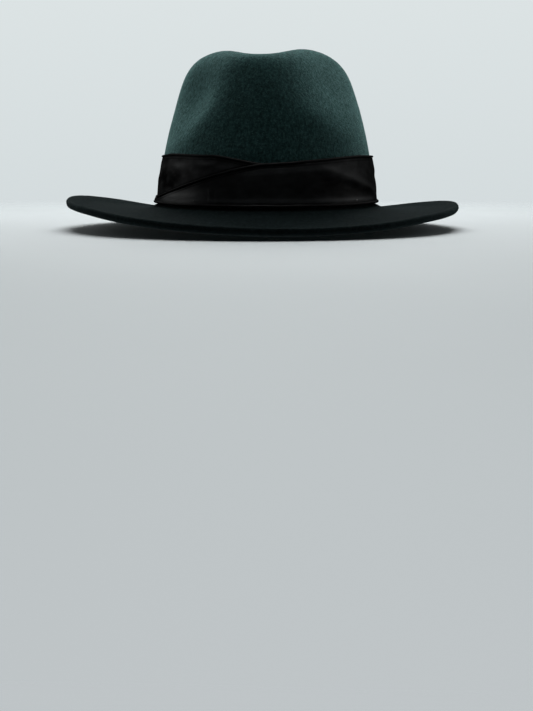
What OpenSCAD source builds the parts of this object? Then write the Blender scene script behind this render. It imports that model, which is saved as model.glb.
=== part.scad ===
// Snap-brim felt hat with a pinched, centre-dented crown, a draped satin band,
// a reeded sweatband and a sewn lining. Millimetres. Z up, front of the hat
// towards -Y, wearer's right towards -X. The origin is the middle of the head
// opening, at the level where the crown meets the brim.
// Plan angles run from 0 at the front through 90 at the wearer's left (+X).

/* [Crown] */
// Outside width of the felt crown at its base
crown_w = 172.4; // [164:0.1:182]
// Outside length of the felt crown at its base
crown_l = 206.4; // [196:0.1:216]
// Height of the open crown before it is creased
crown_h = 117; // [105:0.5:128]
// Sideways lean of the hand-blocked crown
crown_lean = 0.5; // [-2:0.1:2]
// Thickness of the crown felt
felt_t = 2.4; // [2:0.1:2.4]
// Depth of the long crease along the top
crease_depth = 21; // [8:0.5:26]
// Depth of the front pinch on the wearer's right
pinch_depth_r = 8.5; // [4:0.1:10]
// Depth of the front pinch on the wearer's left
pinch_depth_l = 19; // [8:0.1:20]
// How far the front is flattened between the pinches
front_flat = 1.5; // [0:0.1:4]

/* [Brim] */
// Overall width of the brim, side to side
brim_w = 307.6; // [280:0.2:330]
// Overall length of the brim, front to back
brim_l = 344.2; // [320:0.2:370]
// Sideways shift of the brim edge from the crown centre
brim_shift = -2.8; // [-4:0.1:4]
// Thickness of the brim felt
brim_t = 2.8; // [2.2:0.1:3.2]
// Mean height of the brim edge
brim_mean = -3.7; // [-5:0.1:0]
// How far the sides rise and the front and back dip
brim_saddle = 9.2; // [2:0.1:12]
// Difference between the front dip and the back dip
brim_pitch = 3.1; // [-4:0.1:4]
// Difference between the left rise and the right rise
brim_roll = -2.0; // [-3:0.1:3]
// Diagonal set of the brim
brim_twist = -1.2; // [-2:0.1:2]
// Depth of the trough between the crown and the curled edge
brim_trough = 4.2; // [0:0.1:6]
// Height of the rounded break where the brim turns up to the crown
brim_break = 1.8; // [0:0.1:2]
// Extra thickness of the turned outer edge of the brim
brim_lip = 2.4; // [0:0.1:2.6]
// Distance of the flex line in front of the crown
flex_gap = 3.8; // [3:0.1:8]

/* [Hatband] */
// Height of the satin band above the break
band_h = 37.2; // [30:0.2:39]
// Height of the band where the layers cross at the front
band_dip = 31; // [26:0.2:36]
// Radius of the corded edge
cord_r = 0.8; // [0.6:0.05:0.85]

/* [Inside] */
// Height of the sweatband
sweat_h = 36; // [28:0.5:38]
// Height of the brim collar turned up inside the crown
collar_h = 12; // [9:0.5:13]

/* [Hidden] */

felt = [0.17, 0.29, 0.28];
black_felt = [0.10, 0.12, 0.12];
satin = [0.05, 0.05, 0.06];
thread = [0.08, 0.08, 0.08];
leather = [0.20, 0.15, 0.11];
lining_cloth = [0.12, 0.12, 0.13];
tape = [0.55, 0.53, 0.48];
reed = [0.15, 0.15, 0.15];

step = 6;   // plan angle between the points of a ring
ring_angles = [for (angle = [0:step:360 - step]) angle];
ring_points = len(ring_angles);

function clamp(v) = min(1, max(0, v));
function smooth(a, b, v) = let(u = clamp((v - a) / (b - a))) u * u * (3 - 2 * u);
function mix(a, b, u) = a + (b - a) * u;
// A bell curve, 1 at centre
function bell(v, centre, spread) = exp(-pow((v - centre) / spread, 2));

// ---- solids from grids of points ----
function quad(a, b, c, d) = [[a, b, c], [a, c, d]];
// Faces over rows of closed sections, each of `count` points
function grid_faces(rows, count, closed) = [
    for (i = [0:rows - (closed ? 1 : 2)], j = [0:count - 1])
        let(here = i * count, next = (i + 1) % rows * count, k = (j + 1) % count)
            each quad(here + j, here + k, next + k, next + j)];

// A closed loop of sections
module ring_solid(sections) {
    polyhedron([for (section = sections) each section],
        grid_faces(len(sections), len(sections[0]), true));
}
// A run of sections capped at both ends; each section has an even count of points
module strip_solid(sections) {
    rows = len(sections);
    count = len(sections[0]);
    last = (rows - 1) * count;
    polyhedron([for (section = sections) each section], concat(
        grid_faces(rows, count, false),
        [for (j = [0:count / 2 - 2]) each quad(j, count - 1 - j, count - 2 - j, j + 1)],
        [for (j = [0:count / 2 - 2])
            each quad(last + j, last + j + 1, last + count - 2 - j, last + count - 1 - j)]));
}

// ---- crown wall ----
base_z = brim_break + 0.6;   // the crown's cut edge stands on the brim
// Inward taper of the wall per unit of height, and per height squared
side_taper = [0.075, 0.001432];
end_taper = [0.100, 0.001650];

function taper(rates, z) = rates * [max(z, 0), pow(max(z, 0), 2)];
function half_width(z) = crown_w / 2 - taper(side_taper, z);
function half_length(z) = crown_l / 2 - taper(end_taper, z);
function lean(z) = crown_lean * smooth(0, 45, z);
// A point on the wall, `out` outward of the felt
function wall(angle, z, out) = [(half_width(z) + out) * sin(angle) + lean(z),
    -(half_length(z) + out) * cos(angle), z];

// ---- crown shape ----
// Places of the crown's rings along its profile, closer together where it curves
ring_places = [0, 0.085, 0.17, 0.25, 0.32, 0.39, 0.46, 0.53, 0.59, 0.64, 0.69, 0.74, 0.79,
    0.83, 0.87, 0.91, 0.95, 0.98, 1];
side_ring = 2;           // ring where the lining starts
tip_ring = 9;            // ring where the lining's side meets its tip

// The profile is radius^4 + height^z_power = 1, in shares of the whole
z_power = 14.5;
side_end = 0.62;             // place where the side ends
side_height = 0.88;          // height there
shoulder_end = 0.80;         // place where the shoulder ends
shoulder_radius = 0.75;      // radius there
function shoulder_angle(place) =
    mix(23.3, 55.8, (place - side_end) / (shoulder_end - side_end));
// Radius and height along the profile, place from 0 at the base to 1 at the apex
function profile_r(place) =
    place < side_end ? pow(1 - pow(place / side_end * side_height, z_power), 0.25)
    : place < shoulder_end ? sqrt(cos(shoulder_angle(place)))
    : shoulder_radius * (1 - (place - shoulder_end) / (1 - shoulder_end));
function profile_z(place) =
    place < side_end ? place / side_end * side_height
    : place < shoulder_end ? pow(sin(shoulder_angle(place)), 2 / z_power)
    : pow(1 - pow(profile_r(place), 4), 1 / z_power);
// A point of the crown before creasing; the top slopes down towards the back
function open_crown(angle, place, inset) = let(
    rise = profile_z(place),
    radius = profile_r(place),
    z = base_z + rise * (crown_h - base_z),
    y = -(half_length(z) - inset) * radius * cos(angle))
    [(half_width(z) - inset) * radius * sin(angle) + lean(z), y,
     base_z + rise * (crown_h - inset - base_z) - 0.05 * y * rise * rise];

// Hollows at the front of the crown. Columns: side (-1 wearer's right, 1 left), centre,
// yaw of the push from straight back towards the middle, its tilt below level,
// roll of the long axis, depth, half length, half widths on the front and far side
// of the long axis, sharpness of the front side
right_pinch = [-1, [-55.3, -48.5, 94.5], 88, 31.6, 31.7, pinch_depth_r, 29.5, 30.3, 19.4, 4.69];
// The narrower fold inside the right pinch
right_fold = [-1, [-51, -52.1, 86], 72.1, 36.5, 41.6, 0.172 * pinch_depth_r, 31.9, 12.5, 8.8, 2.3];
left_pinch = [1, [46.8, -42.1, 101.8], 7.7, -8.6, 66, pinch_depth_l, 31, 27.4, 18.3, 2.85];
// The slight swelling below the left pinch
left_swell = [1, [41.2, -73.6, 61.8], 8.1, 19, -23.8, -1.1, 10.5, 22.2, 23.7, 2.73];

function pinch(point, row) = let(
    side = row[0], centre = row[1], yaw = row[2], tilt = row[3], roll = row[4],
    depth = row[5], length = row[6], front_w = row[7], far_w = row[8], front_power = row[9],
    push = [-side * sin(yaw) * cos(tilt), cos(yaw) * cos(tilt), -sin(tilt)],
    down = ([0, 0, -1] - sin(tilt) * push) / cos(tilt),
    axis = down * cos(roll) + [side * cos(yaw), sin(yaw), 0] * sin(roll),
    offset = point - centre,
    across = side * (offset * cross(axis, push)),
    fade = across < 0 ? pow(-across / front_w, front_power) : pow(across / far_w, 2))
    depth * bell(offset * axis, 0, length) * exp(-fade) * bell(offset * push, 0, 40)
        * smooth(30, 55, point.z) * push;
// The flattened front between the pinches, mostly on the wearer's right of the middle
function front_panel(point) = [0, front_flat * bell(point.x, -13.2, 18)
    * smooth(36.3, 58.3, point.z) * (1 - smooth(93.6, 110.6, point.z))
    * smooth(30, 70, -point.y), 0];
// The long crease, narrow at the front and wider at the back, and a shallow hollow at its front
function crease(point) = let(
    spread = 16.4 + 0.05 * (point.y + 50),
    run = smooth(-72.7, -15, point.y) * (1 - smooth(30, 66, point.y)),
    hollow = 2.4 * bell(point.x, 1.5, 30.5) * bell(point.y, -60, 22))
    [0, 0, -(crease_depth * bell(point.x, 0, spread) * run + hollow)
        * smooth(0.80, 0.95, point.z / crown_h)];
function dent(point) = pinch(point, right_pinch) + pinch(point, right_fold)
    + pinch(point, left_pinch) + pinch(point, left_swell)
    + front_panel(point) + crease(point);
// A point of the creased crown, `inset` inward of its outer face
function crown_point(angle, place, inset) =
    open_crown(angle, place, inset) + dent(open_crown(angle, place, 0));

// Faces of one dome skin seen from inside: rows of ring points, then the apex
function skin_faces(rows) = concat(grid_faces(rows, ring_points, false),
    [for (i = [0:ring_points - 1]) let(top = (rows - 1) * ring_points)
        [top + i, top + (i + 1) % ring_points, rows * ring_points]]);
// A dome shell between two insets, from first_ring to the apex
module dome_solid(first_ring, outer, inner) {
    apex_ring = len(ring_places) - 1;
    rows = apex_ring - first_ring;
    inner_start = rows * ring_points + 1;
    skin = skin_faces(rows);
    points = [for (inset = [outer, inner]) each concat(
        [for (k = [first_ring:apex_ring - 1], angle = ring_angles)
            crown_point(angle, ring_places[k], inset)],
        [crown_point(0, 1, inset)])];
    polyhedron(points, concat(
        [for (face = skin) [face[2], face[1], face[0]]],
        [for (face = skin) face + inner_start * [1, 1, 1]],
        [for (i = [0:ring_points - 1]) let(j = (i + 1) % ring_points)
            each quad(i, j, inner_start + j, inner_start + i)]));
}

module crown() {
    color(felt) dome_solid(0, outer = 0, inner = felt_t);
}

// ---- brim ----
flex_distance = crown_l / 2 + flex_gap;   // from the centre to the flex line
flex_half = 2.0;         // half the clearance along the flex line
// Plan angles of the front flap's ends, and of the ends of the cut beside it
flap_end = acos((flex_distance + flex_half) / (brim_l / 2)) - 0.4;
cut_end = acos((flex_distance - flex_half) / (brim_l / 2)) + 0.1;
// Section places, as shares of the width
brim_places = [0, 0.07, 0.16, 0.33, 0.5, 0.67, 0.82, 0.9, 0.96, 1];
flap_places = [0, 0.2, 0.4, 0.6, 0.79, 0.89, 0.96, 1];
// Faces of the collar, outward of the crown's outer face
collar_outer = -2.75;
collar_inner = -3.8;

function edge_z(angle) = let(from_front = acos(cos(angle)))
    brim_mean + brim_pitch * cos(angle) - brim_saddle * cos(2 * angle)
    + brim_roll * sin(angle) + brim_twist * sin(2 * angle)
    + 0.8 * cos(3 * angle) + 0.25 * sin(3 * angle)
    + 0.37 * cos(4 * angle) - 0.24 * sin(4 * angle)
    - brim_lip * (smooth(45, 75, from_front) - smooth(140, 180, from_front));
// A point on the brim, raised by `lift`; share from 0 at the crown to 1 at the edge
function brim_point(angle, share, lift) = [
    mix(crown_w / 2 * sin(angle), brim_shift + brim_w / 2 * sin(angle), share),
    -mix(crown_l / 2, brim_l / 2, share) * cos(angle),
    edge_z(angle) * pow(max(share, 0), 1.6) - brim_trough * 4 * share * (1 - share) + lift];
// How far the upper face stands above the brim's even thickness: at the break and at the edge
function brim_rise(share) =
    brim_break * (1 - smooth(0, 0.14, share)) + brim_lip * smooth(0.82, 0.95, share);
// The brim's section between two shares: upper face, rounded edge, lower face
function brim_face(angle, from, to, places) = let(
    shares = [for (u = places) mix(from, to, u * 0.985) + (from == 0 ? 0.002 : 0)],
    last = len(places) - 1)
    concat([for (share = shares) brim_point(angle, share, brim_rise(share))],
        [for (u = [0.3, 0.7]) brim_point(angle, to, mix(brim_rise(to), -brim_t, u))],
        [for (k = [last:-1:0]) brim_point(angle, shares[k], -brim_t)]);
// Share at which the brim meets a line parallel to the flex line, `ahead` in front of it
function flex_share(angle, ahead) =
    ((flex_distance + ahead) / cos(angle) - crown_l / 2) / (brim_l / 2 - crown_l / 2);
function brim_reach(angle) =
    cos(angle) <= 0.3 ? 1 : min(1, flex_share(angle, -flex_half));
function brim_section(angle) = concat(
    [wall(angle, collar_h, collar_inner)],
    [for (z = [collar_h, 5, brim_break + 0.3]) wall(angle, z, collar_outer)],
    brim_face(angle, 0, brim_reach(angle), brim_places),
    [wall(angle, -2.2, -2.9), wall(angle, 0, collar_inner)]);
// Inserts an angle in a rising list, in place of any within 1 degree of it
function insert_angle(list, extra) = concat(
    [for (angle = list) if (angle < extra - 1) angle], [extra],
    [for (angle = list) if (angle > extra + 1) angle]);
brim_angles = insert_angle(insert_angle(ring_angles, cut_end), 360 - cut_end);
flap_angles = concat([-flap_end],
    [for (angle = [-48:step:48]) if (abs(angle) < flap_end - 1) angle], [flap_end]);

// The brim with its collar, without the front flap
module brim() {
    color(black_felt) ring_solid([for (angle = brim_angles) brim_section(angle)]);
}
// The flap in front of the flex line
module brim_front() {
    color(black_felt) strip_solid([for (angle = flap_angles)
        brim_face(angle, flex_share(angle, flex_half), 1, flap_places)]);
}

// ---- sections and stitches that follow the wall ----
// A band between two heights and two outward offsets, flared at the foot
function band_section(angle, low, high, inner, outer, steps = 1, flare = 0) = let(
    levels = [for (k = [0:steps]) mix(low, high, k / steps)],
    spread = [for (z = levels) flare * exp((brim_break - z) / 4)])
    concat([for (k = [0:steps]) wall(angle, levels[k], outer + spread[k])],
        [for (k = [steps:-1:0]) wall(angle, levels[k], inner + spread[k])]);
// A six-sided cord section
function round_section(angle, centre, radius) = [for (turn = [0:60:300])
    centre + radius * [sin(angle) * cos(turn), -cos(angle) * cos(turn), sin(turn)]];
function cord_section(angle, z, out, radius) =
    round_section(angle, wall(angle, z, 0) + out * [sin(angle), -cos(angle), 0], radius);
// A straight stitch between two plan angles, its outer face at `out`
module stitch(from, to, z, out, thick, high) {
    strip_solid([for (angle = [from, to]) [
        wall(angle, z - high / 2, out), wall(angle, z + high / 2, out),
        wall(angle, z + high / 2, out - thick), wall(angle, z - high / 2, out - thick)]]);
}

// ---- hatband ----
cord_gap = 0.15;         // between a layer's upper edge and its cord
// Height of a layer's upper edge when the top of its cord is `height` above the break
function edge_under_cord(height) = height + brim_break - 2 * cord_r - cord_gap;
function cord_z(edge) = edge + cord_gap + cord_r;
drape_start = -84;       // plan angle of the outer layer's gathered end
drape_angles = [drape_start:step:174];

// Upper edge of the inner layer: it swells at the wearer's right and dips at the front
function wrap_top(angle) = let(turn = angle > 180 ? angle - 360 : angle)
    edge_under_cord(turn < 5
        ? mix(band_dip, band_h, smooth(5, -26, turn)) + 1.2 * bell(turn, -54, 15)
        : mix(band_dip, band_h - 2, smooth(5, 70, turn)));
// Upper edge of the outer layer: it rises from the tuck at the wearer's right to full height
function drape_top(angle) = edge_under_cord(angle < 0
    ? mix(6, band_dip + 1.8, smooth(-80, 14, angle))
    : mix(band_dip, band_h, smooth(-8, 64, angle)));

module hatband_wrap() {
    color(satin) ring_solid([for (angle = ring_angles)
        band_section(angle, brim_break + 2.6, wrap_top(angle),
            inner = 0.35, outer = 0.95, steps = 3, flare = 0.6)]);
}
module hatband_drape() {
    color(satin) strip_solid([for (angle = drape_angles)
        band_section(angle, brim_break + 3.6, drape_top(angle),
            inner = 1.15, outer = 1.80, steps = 3, flare = 1.2)]);
}
module wrap_cord_top() {
    color(satin) strip_solid([for (angle = [-174:step:-6])
        cord_section(angle, cord_z(wrap_top(angle)), 0.45 + cord_r, cord_r)]);
}
module wrap_cord_bottom() {
    color(satin) strip_solid([for (angle = [-174:step:-96])
        cord_section(angle, brim_break + 1.5, 1.9, cord_r)]);
}
module drape_cord_top() {
    color(satin) strip_solid([for (angle = drape_angles)
        cord_section(angle, cord_z(drape_top(angle)), 1.25 + cord_r, cord_r)]);
}
module drape_cord_bottom() {
    color(satin) strip_solid([for (angle = drape_angles)
        cord_section(angle, brim_break + 2.1, 3.3, cord_r * 1.25)]);
}
// The drape's gathered end, pushed down to the brim
module drape_tuck() {
    color(satin) hull() {
        translate(wall(-90, brim_break + 3.0, 2.6)) sphere(r = 1.4, $fn = 16);
        translate(wall(-92.4, brim_break + 2.2, 3.0)) sphere(r = 1.1, $fn = 16);
        translate(wall(-89.5, brim_break + 5.2, 2.4)) sphere(r = 1.0, $fn = 16);
    }
}
module band_tacks() {
    color(thread) for (angle = [-33, 51, 99, 147])
        stitch(angle - 0.5, angle + 0.5, z = brim_break + 4.9, out = 3.2, thick = 0.5, high = 0.8);
}
module crown_stitches() {
    color(thread) for (angle = ring_angles)
        stitch(angle + 1.2, angle + 4.8, z = 8, out = 0.27, thick = 0.18, high = 0.5);
}

// ---- sweatband ----
module stay_tape() {
    color(tape) ring_solid([for (angle = ring_angles)
        band_section(angle, 1.0, 13, inner = -4.15, outer = -3.9)]);
}
module sweatband() {
    color(leather) ring_solid([for (angle = ring_angles)
        band_section(angle, -1.0, sweat_h, inner = -5.1, outer = -4.3, steps = 3)]);
}
module sweatband_reed() {
    color(reed) ring_solid([for (angle = ring_angles)
        cord_section(angle, z = -1.8, out = -4.6, radius = 0.62)]);
}
module sweatband_stitches() {
    color(thread) for (angle = ring_angles) for (start = [0.5, 3.5])
        stitch(angle + start, angle + start + 2, z = 1.4, out = -5.45, thick = 0.25, high = 0.5);
}
module sweatband_seam_tape() {
    color(tape) strip_solid([for (angle = [174, 180, 186])
        band_section(angle, 2.4, sweat_h - 0.6, inner = -5.75, outer = -5.4, steps = 2)]);
}

// A small flat bow on the sweatband's back seam
bow_z = 12;
bow_h = 4.8;
knot = [2.6, 3.9, 3.8];
function loop_outline(side, half_w, half_d) = [for (turn = [0:20:340])
    [side * (7.2 + half_w * cos(turn)), 1.75 + half_d * sin(turn)]];
module bow_loop(side) {
    translate([0, 0, -bow_h / 2]) linear_extrude(height = bow_h) difference() {
        polygon(loop_outline(side, 5.8, 1.7));
        polygon(loop_outline(side, 5.3, 1.25));
    }
}
module sweatband_bow() {
    color(satin) translate([lean(bow_z), half_length(bow_z) - 7.45, bow_z]) rotate([0, 0, 180]) {
        bow_loop(1);
        bow_loop(-1);
        translate([-knot.x / 2, 0, -knot.z / 2]) cube(knot);
    }
}

// ---- lining ----
module lining_side() {
    color(lining_cloth) ring_solid([for (angle = ring_angles) concat(
        [for (k = [side_ring:tip_ring]) crown_point(angle, ring_places[k], felt_t + 0.30)],
        [for (k = [tip_ring:-1:side_ring]) crown_point(angle, ring_places[k], felt_t + 0.65)])]);
}
module lining_tip() {
    color(lining_cloth) dome_solid(tip_ring, outer = felt_t + 0.75, inner = felt_t + 1.10);
}
module lining_piping() {
    color(satin) ring_solid([for (angle = ring_angles) round_section(angle,
        crown_point(angle, ring_places[tip_ring] - 0.02, felt_t + 1.9), radius = 0.5)]);
}
// A tab inside the sweatband, at the back on the wearer's left
module size_tab() {
    color(tape) strip_solid([for (angle = [150, 156, 162])
        band_section(angle, 20, 30, inner = -5.5, outer = -5.2)]);
}

crown();
brim();
brim_front();
hatband_wrap();
hatband_drape();
wrap_cord_top();
wrap_cord_bottom();
drape_cord_top();
drape_cord_bottom();
drape_tuck();
band_tacks();
crown_stitches();
stay_tape();
sweatband();
sweatband_reed();
sweatband_stitches();
sweatband_seam_tape();
sweatband_bow();
lining_side();
lining_tip();
lining_piping();
size_tab();
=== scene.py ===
"""A pinched felt hat with a draped satin band, a satin lining and a leather sweatband.

Shapes are worked out in millimetres and turned into metres when a mesh is made. +Z is up and the
front of the hat faces -Y, so +X is the wearer's left. Plan angles start at the front and grow
toward +X; `angle` is in radians and `deg` in degrees.
"""
import bpy, math
import numpy as np
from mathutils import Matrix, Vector


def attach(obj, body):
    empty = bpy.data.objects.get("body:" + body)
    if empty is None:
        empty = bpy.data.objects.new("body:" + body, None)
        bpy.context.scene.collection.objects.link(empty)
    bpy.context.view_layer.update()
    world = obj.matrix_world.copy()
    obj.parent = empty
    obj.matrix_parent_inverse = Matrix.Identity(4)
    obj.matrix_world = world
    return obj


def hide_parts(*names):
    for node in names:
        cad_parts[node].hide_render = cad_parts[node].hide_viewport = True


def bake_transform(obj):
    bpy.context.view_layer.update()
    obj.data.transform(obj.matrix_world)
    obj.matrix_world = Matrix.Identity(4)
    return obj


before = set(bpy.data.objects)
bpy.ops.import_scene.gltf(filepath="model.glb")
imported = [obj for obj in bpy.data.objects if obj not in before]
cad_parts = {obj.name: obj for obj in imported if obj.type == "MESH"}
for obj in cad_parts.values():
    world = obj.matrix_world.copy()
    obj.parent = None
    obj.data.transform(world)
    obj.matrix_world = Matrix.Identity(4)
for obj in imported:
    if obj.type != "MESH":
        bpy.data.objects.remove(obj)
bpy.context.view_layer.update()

# ------------------------------------------------------------------ sizes, in millimetres
MM = 0.001
FELT = 2.4                                      # thickness of the crown
CROWN_W, CROWN_L, CROWN_H = 172.4, 206.4, 117.0
HALF_W, HALF_L = CROWN_W / 2, CROWN_L / 2
SIDE_TAPER, END_TAPER = (0.075, 0.001432), (0.100, 0.001650)   # by height, and by height squared
LEAN, LEAN_TOP = 0.5, 45                        # the crown drifts toward +X up to this height
TOP_SLOPE = 0.05                                # the top climbs toward the front
CREASE, PANEL = 21.0, 1.5                       # depths of the top crease and the flattened front
PINCH_R, PINCH_L = 8.5, 19.0                    # depths of the wearer's right and left pinches
PINCH_REACH = 40                                # how far a pinch acts along its push

BRIM_W, BRIM_L, BRIM_T = 307.6, 344.2, 2.8
BRIM_SHIFT = -2.8                               # the brim's edge sits toward -X
BRIM_BREAK, BRIM_LIP = 1.8, 2.4                 # rise of the upper face at the crown and the edge
BRIM_SAG = 4.2
BASE_Z = BRIM_BREAK + 0.6                       # foot of the crown
COLLAR_H = 12.0                                 # brim felt standing inside the crown

BAND_H, BAND_DIP, CORD = 37.2, 31.0, 0.8
BAND_LIFT = BRIM_BREAK - 2 * CORD - 0.15        # added to the band heights below
WRAP_FOOT, DRAPE_FOOT = BRIM_BREAK + 2.4, BRIM_BREAK + 2.3
SWEAT_H = 36.0

# Crown profile: shares of its run, from foot 0 to tip 1, and the superellipse it follows
WALL_END, TOP_START = 0.62, 0.80
WALL_TOP_Z, TOP_START_R = 0.88, 0.75
SHOULDER_TURN = 23.3, 55.8                      # degrees round the superellipse
Z_POWER, R_POWER = 14.5, 4
LINING_FOOT, LINING_TOP = 0.17, 0.64

# side (-1 right, 1 left), centre, yaw, tilt and roll of the push in degrees, depth, length,
# width where `across` is negative, width where it is positive, falloff power on the negative side
PINCHES = [
    (-1, (-55.3, -48.5, 94.5), 88, 31.6, 31.7, PINCH_R, 29.5, 30.3, 19.4, 4.69),
    (-1, (-51, -52.1, 86), 72.1, 36.5, 41.6, 0.172 * PINCH_R, 31.9, 12.5, 8.8, 2.3),
    (1, (46.8, -42.1, 101.8), 7.7, -8.6, 66, PINCH_L, 31, 27.4, 18.3, 2.85),
    (1, (41.2, -73.6, 61.8), 8.1, 19, -23.8, -1.1, 10.5, 22.2, 23.7, 2.73),
]
# Height of the brim's edge round the hat: mean, then (waves per turn, cosine, sine)
EDGE_MEAN = -3.7
EDGE_WAVES = [(1, 3.1, -2.0), (2, -9.2, -1.2), (3, 0.8, 0.25), (4, 0.37, -0.24)]

UP, BACK = np.array([0, 0, 1.0]), np.array([0, 1.0, 0])


def smooth(start, end, value):
    share = np.clip((value - start) / (end - start), 0, 1)
    return share * share * (3 - 2 * share)


def mix(first, second, share):
    return first + (second - first) * share


def bell(value, centre, width):
    return np.exp(-((value - centre) / width) ** 2)


# ------------------------------------------------------------------ crown surface
def tapered(half, taper, z):
    z = np.maximum(z, 0)
    return half - taper[0] * z - taper[1] * z * z


def half_width(z):
    return tapered(HALF_W, SIDE_TAPER, z)


def half_length(z):
    return tapered(HALF_L, END_TAPER, z)


def lean(z):
    return LEAN * smooth(0, LEAN_TOP, z)


def outward(angle):
    return np.stack([np.sin(angle), -np.cos(angle), 0 * angle], -1)


def wall(angle, z, out):
    """Points at height z, `out` mm outside the plain crown wall."""
    angle, z, out = np.broadcast_arrays(angle, z, out)
    x = (half_width(z) + out) * np.sin(angle) + lean(z)
    return np.stack([x, -(half_length(z) + out) * np.cos(angle), z], -1)


def superellipse(value, power, other_power):
    rest = np.clip(1 - np.power(np.clip(value, 0, 1), power), 0, 1)
    return np.power(rest, 1 / other_power)


def profile(rise):
    """Radius and height of the crown, each as a share, at a share of its run."""
    wall_z = rise / WALL_END * WALL_TOP_Z
    wall_r = superellipse(wall_z, Z_POWER, R_POWER)
    turn = np.radians(mix(*SHOULDER_TURN, (rise - WALL_END) / (TOP_START - WALL_END)))
    shoulder_r = np.sqrt(np.cos(np.clip(turn, 0, 1.5)))
    shoulder_z = np.power(np.sin(np.clip(turn, 1e-6, 1.5)), 2 / Z_POWER)
    top_r = TOP_START_R * (1 - (rise - TOP_START) / (1 - TOP_START))
    top_z = superellipse(top_r, R_POWER, Z_POWER)
    in_wall, in_shoulder = rise < WALL_END, rise < TOP_START
    return (np.where(in_wall, wall_r, np.where(in_shoulder, shoulder_r, top_r)),
            np.where(in_wall, wall_z, np.where(in_shoulder, shoulder_z, top_z)))


def open_crown(angle, rise, inset):
    """The crown before it is creased and pinched, `inset` mm inside its outer face."""
    angle, rise = np.broadcast_arrays(angle, rise)
    radius, height = profile(rise)
    z = BASE_Z + height * (CROWN_H - BASE_Z)
    x = (half_width(z) - inset) * radius * np.sin(angle) + lean(z)
    y = -(half_length(z) - inset) * radius * np.cos(angle)
    inset_z = BASE_Z + height * (CROWN_H - inset - BASE_Z)
    return np.stack([x, y, inset_z - TOP_SLOPE * y * height * height], -1)


def pinch(base, side, centre, yaw, tilt, roll, depth, length, neg_width, pos_width, neg_power):
    """An oval hollow pushed in along (yaw, tilt); its long axis runs down, turned by roll."""
    yaw, tilt, roll = np.radians((yaw, tilt, roll))
    level = np.cos(tilt)
    push = np.array([-side * np.sin(yaw) * level, np.cos(yaw) * level, -np.sin(tilt)])
    down = (-UP - np.sin(tilt) * push) / level
    sideways = np.array([side * np.cos(yaw), np.sin(yaw), 0])
    run = down * np.cos(roll) + sideways * np.sin(roll)
    offset = base - centre
    across = side * (offset @ np.cross(run, push))
    width = np.where(across < 0, neg_width, pos_width)
    power = np.where(across < 0, neg_power, 2.0)
    amount = np.exp(-(offset @ run / length) ** 2 - np.abs(across / width) ** power
                    - (offset @ push / PINCH_REACH) ** 2)
    return (depth * amount * smooth(30, 55, base[..., 2]))[..., None] * push


def panel(base):
    """The flattened front between the pinches, mostly on the wearer's right of the middle."""
    x, y, z = base[..., 0], base[..., 1], base[..., 2]
    in_height = smooth(36.3, 58.3, z) * (1 - smooth(93.6, 110.6, z))
    amount = PANEL * bell(x, -13.2, 18) * in_height * smooth(30, 70, -y)
    return amount[..., None] * BACK


def crease(base):
    """The lengthwise valley in the top, and a shallow dip at its front end."""
    x, y, z = base[..., 0], base[..., 1], base[..., 2]
    width = 16.4 + 0.05 * (y + 50)
    valley = CREASE * bell(x, 0, width) * smooth(-72.7, -15, y) * (1 - smooth(30, 66, y))
    front_dip = 2.4 * bell(x, 1.5, 30.5) * bell(y, -60, 22)
    depth = (valley + front_dip) * smooth(0.80, 0.95, z / CROWN_H)
    return -depth[..., None] * UP


def crown_points(angle, rise, inset):
    """The shaped crown; every inset is dented by the outer face's dents."""
    base = open_crown(angle, rise, 0.0)
    dents = sum(pinch(base, *row) for row in PINCHES) + panel(base) + crease(base)
    return open_crown(angle, rise, inset) + dents


def crown_tip(inset):
    return crown_points(np.zeros(1), np.ones(1), inset)[0]


# ------------------------------------------------------------------ brim surface
def edge_height(angle):
    from_front = np.degrees(np.arccos(np.clip(np.cos(angle), -1, 1)))
    waves = sum(cos_part * np.cos(count * angle) + sin_part * np.sin(count * angle)
                for count, cos_part, sin_part in EDGE_WAVES)
    sides = smooth(45, 75, from_front) - smooth(140, 180, from_front)
    return EDGE_MEAN + waves - BRIM_LIP * sides


def brim_rise(reach):
    """Rise of the upper face above even thickness, at the crown and at the edge."""
    return BRIM_BREAK * (1 - smooth(0, 0.14, reach)) + BRIM_LIP * smooth(0.82, 0.95, reach)


def brim_points(angle, reach, lift):
    """Brim points; reach runs from 0 at the crown to 1 at the edge."""
    angle, reach, lift = np.broadcast_arrays(angle, reach, lift)
    x = mix(HALF_W * np.sin(angle), BRIM_SHIFT + BRIM_W / 2 * np.sin(angle), reach)
    y = -mix(HALF_L, BRIM_L / 2, reach) * np.cos(angle)
    sag = BRIM_SAG * 4 * reach * (1 - reach)
    z = edge_height(angle) * np.power(np.maximum(reach, 1e-9), 1.6) - sag + lift
    return np.stack([x, y, z], -1)


# ------------------------------------------------------------------ noise, seeded and repeatable
def cell_value(cells, seed):
    """A value from -1 to 1 hashed from whole-number cells."""
    i, j, k = (cells[..., axis].astype(np.int64) for axis in range(3))
    mixed = (i * 374761393 + j * 668265263 + k * 2147483647 + seed * 974711) & 0xFFFFFFFF
    mixed = ((mixed ^ (mixed >> 13)) * 1274126177) & 0xFFFFFFFF
    mixed = ((mixed ^ (mixed >> 16)) * 2246822519) & 0xFFFFFFFF
    return ((mixed ^ (mixed >> 15)) & 0xFFFFFF) / float(0xFFFFFF) * 2 - 1


def noise(points, size, seed):
    """Smooth value noise, -1 to 1, with features about `size` mm across."""
    scaled = points / size
    cell = np.floor(scaled)
    part = scaled - cell
    part = part * part * (3 - 2 * part)
    total = 0
    for corner in np.ndindex(2, 2, 2):
        weight = np.prod(np.where(corner, part, 1 - part), axis=-1)
        total = total + weight * cell_value(cell + np.array(corner), seed)
    return total


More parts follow.
